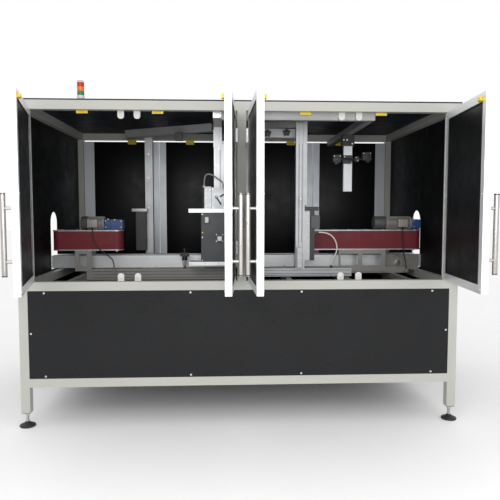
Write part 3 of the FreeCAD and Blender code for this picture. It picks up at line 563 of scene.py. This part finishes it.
# ---- inspection head ----
def head_details():
    """Connectors, screws, feed lines and a small grip on the sliding head."""
    low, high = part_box("head_box")
    face = low.y + 0.009                    # the case's front face; the plugs stand 9 mm out of it
    bm = bmesh.new()
    for x, z, wide, tall in ((place(-249, 0, 0).x, place(0, 0, 1405).z, 0.026, 0.042),
                             (place(-154, 0, 0).x, place(0, 0, 1265).z, 0.032, 0.034)):
        block(bm, (x - wide / 2, low.y - 0.014, z - tall / 2),
              (x + wide / 2, low.y + 0.001, z + tall / 2), 0.003)
    block(bm, (high.x - 0.012, face - 0.006, low.z + 0.004), (high.x - 0.0005, face + 0.002, high.z - 0.004),
          0.001)
    lathe(bm, [(0.006, 0), (0.006, -0.008), (0.0045, -0.0095), (0, -0.0095)],
          (place(-281, 0, 0).x, face, place(0, 0, 1310).z), "y", 24, 1)
    for x in (low.x + 0.01, high.x - 0.02):
        for z in (low.z + 0.012, (low.z + high.z) / 2, high.z - 0.012):
            cap_screw(bm, (x, face, z), "y", 0.0045, 2, flip=True)
    for dx in (-0.024, 0.024):
        for dz in (-0.024, 0.024):
            at = (place(-154, 0, 0).x + dx, low.y, place(0, 0, 1270).z + dz)
            cap_screw(bm, at, "y", 0.004, 2, flip=True)
    piece("head_connectors", bm, [WHITE, YELLOW, STEEL], "head")
    plate_low, plate_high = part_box("head_plates")
    bm = bmesh.new()
    for z0, z1 in ((plate_low.z, low.z), (high.z, high.z + 0.028)):
        for x in (plate_low.x + 0.02, plate_low.x + 0.12, plate_low.x + 0.22, plate_high.x - 0.03):
            cap_screw(bm, (x, plate_low.y, (z0 + z1) / 2), "y", 0.005, 0, flip=True)
    block_left, block_front = place(-280, 430, 0).x, place(0, 430, 0).y
    for dz in (1510, 1570, 1630):
        for dx in (0.026, 0.055):
            cap_screw(bm, (block_left + dx, block_front, place(0, 0, dz).z), "y", 0.0035, 0, flip=True)
    for x, z in ((-205, 1500), (-122, 1500), (-205, 1636)):
        cap_screw(bm, tuple(place(x, 440, z)), "y", 0.004, 0, flip=True)
    piece("head_screws", bm, [STEEL], "head")
    bm = bmesh.new()
    for k in range(4):
        x, y = block_left + 0.003 + 0.006 * (k % 2), block_front - 0.004 - 0.004 * (k // 2)
        lathe(bm, [(0, 0.002), (0.0035, 0), (0.004, 0.02), (0.004, 0.142), (0.0035, 0.158), (0, 0.16)],
              (x, y, place(0, 0, 1490).z), "z", 16)
    for up in (1545, 1612):
        block(bm, (block_left - 0.002, block_front - 0.014, place(0, 0, up).z),
              (block_left + 0.014, block_front + 0.001, place(0, 0, up + 11).z), 0.002)
    handle = Matrix.Translation(place(-136, 434, 1587)) @ Matrix.Rotation(math.radians(-33), 4, "Y")
    block(bm, (-0.018, -0.008, -0.006), (0.018, 0.007, 0.006), 0.003, 0, handle)
    piece("head_feed_lines", bm, [MOULDED], "head")


def column_details():
    """Screws and slot covers on the profiles, and the grid in the overhead profile's end."""
    bm = bmesh.new()
    left, front, low = place(-195, 60, 0).x, place(0, 60, 0).y, place(0, 0, 2098).z
    block(bm, (left + 0.002, front - 0.001, low + 0.002),
          (left + 0.058, front + 0.001, low + 0.058), 0.0005, 2)
    step, cell = 0.0117, 0.0112              # the end cap's grid of cells
    for i in range(5):
        for k in range(4):
            x, z = left + 0.0012 + step * i, low + 0.0012 + step * k
            if (i + k) % 2:
                block(bm, (x, front - 0.002, z), (x + cell, front, z + cell), 0.0008, 1)
    for x, y, z in ((-158, 470, 1940), (-92, 470, 1940), (-184, 470, 1820), (428, 300, 2110),
                    (448, 300, 2110), (438, 300, 1200), (438, 300, 1560), (884, 785, 2050),
                    (857, 785, 2050), (928, 785, 2020)):
        cap_screw(bm, tuple(place(x, y, z)), "y", 0.0065, 0, flip=True)
    for z in (1120, 1180, 1300, 1380, 1460):
        cap_screw(bm, tuple(place(490, 304, z)), "y", 0.0045, 0, flip=True)
    for x in (422, 440):
        for z in (1070, 1130, 1185):
            cap_screw(bm, tuple(place(x, 270, z)), "y", 0.005, 0, flip=True)
    for z in (1250, 1500, 1750, 1950):
        cap_screw(bm, tuple(place(-753, 1000, z)), "y", 0.006, 0, flip=True)
    piece("profile_screws", bm, [STEEL, DULL_GREY, MOULDED], "cell")
    bm = bmesh.new()
    for x in (-150, -103):
        block(bm, tuple(place(x, 468.6, 1610)), tuple(place(x + 3, 471, 1930)), 0.0004)
    for x in (427, 448):
        block(bm, tuple(place(x, 298.6, 1240)), tuple(place(x + 2.5, 300.5, 1960)), 0.0004)
    for z in (997, 1009, 1035):
        block(bm, tuple(place(156, 298.6, z)), tuple(place(816, 300.6, z + 3)), 0.0004)
    for z in (950, 975, 1000):
        block(bm, tuple(place(-1140, 598.8, z)), tuple(place(-56, 600.6, z + 3)), 0.0004)
    piece("slot_covers", bm, [MOULDED], "cell")


def fittings():
    """The water trap's bowl and cap, and the bar on top of the control box."""
    bm = bmesh.new()
    x, y, top = place(-431, 620, 1091)
    lathe(bm, [(0, -0.056), (0.006, -0.056), (0.008, -0.05), (0.0165, -0.044), (0.018, -0.036), (0.018, 0.0)],
          (x, y, top), "z", 40)
    piece("trap_bowl", bm, [BOWL], "cell")
    bm = bmesh.new()
    lathe(bm, [(0.0195, 0), (0.0215, -0.002), (0.0215, -0.009), (0.0195, -0.011)],
          (x, y, top + 0.006), "z", 40)
    for i in range(12):
        rib = Matrix.Translation((x, y, 0)) @ Matrix.Rotation(2 * math.pi * i / 12, 4, "Z")
        block(bm, (0.0205, -0.0012, top - 0.004), (0.0228, 0.0012, top + 0.005), 0.0005, 0, rib)
    lathe(bm, [(0, 0.034), (0.012, 0.034), (0.0145, 0.031), (0.0145, 0.012), (0.011, 0.008), (0.011, -0.002)],
          (x, y, place(0, 0, 1146).z), "z", 32)
    piece("trap_trim", bm, [MOULDED], "cell")
    bm = bmesh.new()
    block(bm, tuple(place(-891, 928, 1466)), tuple(place(-763, 1000, 1492)), 0.004)
    piece("box_top_bar", bm, [COLUMN], "cell")


def knob_tops():
    """A domed crown on each star knob."""
    for name in ("star_knob_left", "star_knob_right"):
        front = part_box(name)[0].y
        body = name.replace("star_", "")
        x, _, z = JOINTS[body + "_turn"]["pos_m"]
        bm = bmesh.new()
        lathe(bm, [(0, -0.004), (0.009, -0.0038), (0.013, -0.002), (0.0145, 0.001)],
              (x, front, z), "y", 32)
        for i in range(5):
            angle = math.radians(90 + 72 * i)
            lathe(bm, [(0, -0.003), (0.006, -0.0026), (0.0088, -0.0008), (0.0098, 0.0015)],
                  (x + 0.018 * math.cos(angle), front + 0.001, z + 0.018 * math.sin(angle)), "y", 24)
        piece(f"{name}_crown", bm, [MOULDED], body)


def clamp_details():
    """Screws, lens rims and blank covers on the two sensors."""
    bm = bmesh.new()
    for x, y, z in ((776, 760, 1918), (826, 760, 1918), (1018, 760, 1940), (1072, 760, 1940),
                    (958, 767, 1907), (972, 767, 1883), (868, 793, 1916), (926, 793, 1866)):
        cap_screw(bm, tuple(place(x, y, z)), "y", 0.0035, 0, flip=True)
    piece("sensor_screws", bm, [STEEL], "sensor_arm")
    bm = bmesh.new()
    for x, z in ((793, 1863), (1051, 1881)):
        lathe(bm, [(0.0095, 0.001), (0.0095, -0.003), (0.0075, -0.0035), (0.0068, -0.001), (0, -0.001)],
              tuple(place(x, 744, z)), "y", 32)
    for x0, x1, z0, z1 in ((776, 826, 1876, 1910), (1018, 1072, 1892, 1930)):
        block(bm, tuple(place(x0, 757, z0)), tuple(place(x1, 761, z1)), 0.0015)
    piece("sensor_eyes", bm, [MOULDED], "sensor_arm")


def foot_details():
    """Threads and washers on the stems, and a ribbed skirt on each pad."""
    bm = bmesh.new()
    thread = [(0.0098, 0.037)]
    for k in range(20):
        base = 0.038 + 0.0021 * k
        thread += [(0.0098, base), (0.0106, base + 0.0008), (0.0098, base + 0.0016)]
    thread.append((0.0098, 0.081))
    washer = [(0.0105, 0.0365), (0.0165, 0.0365), (0.0175, 0.0375), (0.0165, 0.0385), (0.0105, 0.0385)]
    for x, y in FEET:
        at = tuple(place(x, y, 0))
        lathe(bm, thread, at, "z", 24)
        lathe(bm, washer, at, "z", 32)
    piece("foot_threads", bm, [STEEL], "cell")
    bm = bmesh.new()
    for x, y in FEET:
        at = tuple(place(x, y, 0))
        lathe(bm, [(0.0502, 0.0015), (0.0512, 0.003), (0.0512, 0.009), (0.0502, 0.0115)], at, "z", 48)
        for i in range(24):
            rib = Matrix.Translation(at) @ Matrix.Rotation(2 * math.pi * i / 24, 4, "Z")
            block(bm, (0.0498, -0.0022, 0.0015), (0.0522, 0.0022, 0.0105), 0.0006, 0, rib)
    piece("foot_ribs", bm, [RUBBER], "cell")


def frame_details():
    """Door catch domes, switch lids, panel washers and the roof's turned lip."""
    bm = bmesh.new()
    for x in (-1065, -563, 434, 956):
        for dx in (-30, 30):
            cap_screw(bm, tuple(place(x + dx, 45, 2131)), "y", 0.003, 1, flip=True)
        block(bm, tuple(place(x - 16, 43, 2125)), tuple(place(x + 16, 46, 2137)), 0.001, 0)
    for x in (-982, -439, 515, 982):
        block(bm, tuple(place(x - 30, 1554, 2108)), tuple(place(x + 30, 1557, 2112)), 0.001, 2)
    piece("switch_lids", bm, [YELLOW, STEEL, MOULDED], "cell")
    bm = bmesh.new()
    for x, z in ((-809, 2112), (-701, 2112), (684, 2112), (803, 2112),
                 (-824, 1021), (-709, 1021), (687, 1021), (813, 1021)):
        at = tuple(place(x, 46, z))
        lathe(bm, [(0, -0.0035), (0.006, -0.0033), (0.0105, -0.002), (0.012, 0.001)], at, "y", 32)
        lathe(bm, [(0.0135, 0.0005), (0.0145, -0.0008), (0.0155, -0.0008), (0.0165, 0.0005)], at, "y", 32)
    piece("catch_domes", bm, [WHITE], "cell")
    low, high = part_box("roof_sheet")
    bm = bmesh.new()
    lip, foot, top = 0.012, high.z - 0.001, high.z + 0.003
    inner_low, inner_high = low.y + lip, high.y - lip
    for corner, opposite in (((low.x, low.y), (high.x, inner_low)), ((low.x, inner_high), (high.x, high.y)),
                             ((low.x, inner_low), (low.x + lip, inner_high)),
                             ((high.x - lip, inner_low), (high.x, inner_high))):
        block(bm, (*corner, foot), (*opposite, top), 0.001)
    piece("roof_lip", bm, [ROOF], "cell")


def cable(name, points, radius, material, stand, body="cell", rings=0.0):
    """A free cable: one open smooth curve through the control points of part.py's route."""
    curve = bpy.data.curves.new(name, "CURVE")
    curve.dimensions = "3D"
    curve.bevel_depth = radius
    curve.bevel_resolution = 6
    curve.resolution_u = 16
    curve.use_fill_caps = True
    spline = curve.splines.new("NURBS")
    spline.points.add(len(points) - 1)
    for point, at in zip(spline.points, points):
        point.co = (*place(*at), 1.0)
    spline.order_u = 3
    spline.use_endpoint_u = True
    curve.materials.append(material)
    obj = bpy.data.objects.new(name, curve)
    bpy.context.scene.collection.objects.link(obj)
    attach(obj, body)
    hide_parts(stand)
    if rings:
        corrugation(obj, name + "_rings", radius, rings, material, body)


def corrugation(obj, name, radius, pitch, material, body):
    """Rings along a corrugated sheath, at even steps down the cable's own curve."""
    bare = obj.data.copy()
    bare.bevel_depth = 0
    temp = bpy.data.objects.new(name + "_line", bare)
    bpy.context.scene.collection.objects.link(temp)
    bpy.context.view_layer.update()
    line = bpy.data.meshes.new_from_object(temp)
    points = [vert.co.copy() for vert in line.vertices]
    bpy.data.objects.remove(temp)
    crest, edge = radius * 1.16, radius * 0.98
    ring = [(edge, -pitch * 0.3), (crest, -pitch * 0.15), (crest, pitch * 0.15), (edge, pitch * 0.3)]
    bm = bmesh.new()
    travelled, due = 0.0, pitch
    for before, after in zip(points, points[1:]):
        step = (after - before).length
        while travelled + step > due:
            at = before.lerp(after, (due - travelled) / step)
            turn = (after - before).to_track_quat("Z", "Y").to_matrix().to_4x4()
            matrix = Matrix.Translation(at) @ turn
            lathe(bm, ring, (0, 0, 0), "z", 16, 0, matrix)
            due += pitch
        travelled += step
    return piece(name, bm, [material], body, sharp=70)


def cables():
    """The four free cables and hoses, on the routes that part.py draws."""
    cable("left_motor_lead", [(-1136, 580, 1330), (-1136, 580, 1268), (-1112, 580, 1210), (-1074, 580, 1164),
                              (-1024, 580, 1132), (-974, 580, 1090), (-974, 580, 1030)], 0.004, SHEATH,
          "left_motor_cable")
    cable("right_motor_lead", [(1292, 580, 1330), (1292, 580, 1262), (1300, 580, 1190), (1306, 580, 1120),
                               (1326, 580, 1060), (1326, 580, 1016)], 0.004, SHEATH, "right_motor_cable")
    cable("head_lead", [(-268, 438, 1662), (-268, 438, 1716), (-250, 437, 1750), (-204, 436, 1742),
                        (-158, 435, 1706), (-128, 434, 1690), (-128, 434, 1658)], 0.005, GREY_SHEATH,
          "head_cable", body="head", rings=0.004)
    cable("slide_line", [(577, 314, 1315), (628, 314, 1315), (688, 314, 1284), (718, 314, 1215),
                         (708, 314, 1150), (672, 314, 1112), (672, 314, 1070)], 0.005, PALE_HOSE,
          "slide_hose")


door_trim()
signal_tower()
for side_name in ("left", "right"):
    grip_belt(side_name)
gearmotor("left", -1136, 0.05)
gearmotor("right", 1292, 0.096)
conveyor()
head_details()
column_details()
fittings()
knob_tops()
clamp_details()
foot_details()
frame_details()
cables()


# ---- floor, light and camera ----
def stage():
    """The pale floor and the white surroundings."""
    bm = bmesh.new()
    bmesh.ops.create_grid(bm, x_segments=1, y_segments=1, size=40)
    mesh = bpy.data.meshes.new("floor")
    bm.to_mesh(mesh)
    bm.free()
    floor = bpy.data.objects.new("floor", mesh)
    floor.location.z = FLOOR - 0.0005
    mesh.materials.append(finish("pale_floor", (0.93, 0.93, 0.93), 0.75, grain=40, bump=0.01, vary=0.01))
    bpy.context.scene.collection.objects.link(floor)
    world = bpy.data.worlds.new("studio")
    world.use_nodes = True
    world.node_tree.nodes["Background"].inputs["Color"].default_value = (1, 1, 1, 1)
    world.node_tree.nodes["Background"].inputs["Strength"].default_value = 1.0
    bpy.context.scene.world = world


def light(name, at, target, size, power):
    """A rectangular lamp aimed at a point."""
    data = bpy.data.lights.new(name, "AREA")
    data.shape = "RECTANGLE"
    data.size, data.size_y = size
    data.energy = power
    obj = bpy.data.objects.new(name, data)
    obj.location = at
    obj.rotation_euler = (Vector(target) - Vector(at)).to_track_quat("-Z", "Y").to_euler()
    bpy.context.scene.collection.objects.link(obj)


def camera():
    """The view that the photograph was taken from."""
    data = bpy.data.cameras.new("camera")
    data.sensor_width = 36
    data.lens = 40.01
    obj = bpy.data.objects.new("camera", data)
    obj.location = place(-121.1, -3760.5, 1467.9)
    yaw, pitch = 0.0468, 0.0692              # right of straight in, and below level, in radians
    aim = Vector((math.sin(yaw) * math.cos(pitch), math.cos(yaw) * math.cos(pitch), -math.sin(pitch)))
    obj.rotation_euler = aim.to_track_quat("-Z", "Y").to_euler()
    bpy.context.scene.collection.objects.link(obj)
    bpy.context.scene.camera = obj


stage()
light("key", place(-1200, -4200, 3200), place(0, 600, 1300), (2.4, 1.6), 46)
light("fill", place(1900, -3900, 2200), place(0, 600, 1300), (1.8, 1.8), 22)
light("flash", place(-65, -3600, 1700), place(0, 800, 1400), (0.5, 0.4), 24)
camera()
bpy.context.scene.view_settings.view_transform = "Standard"
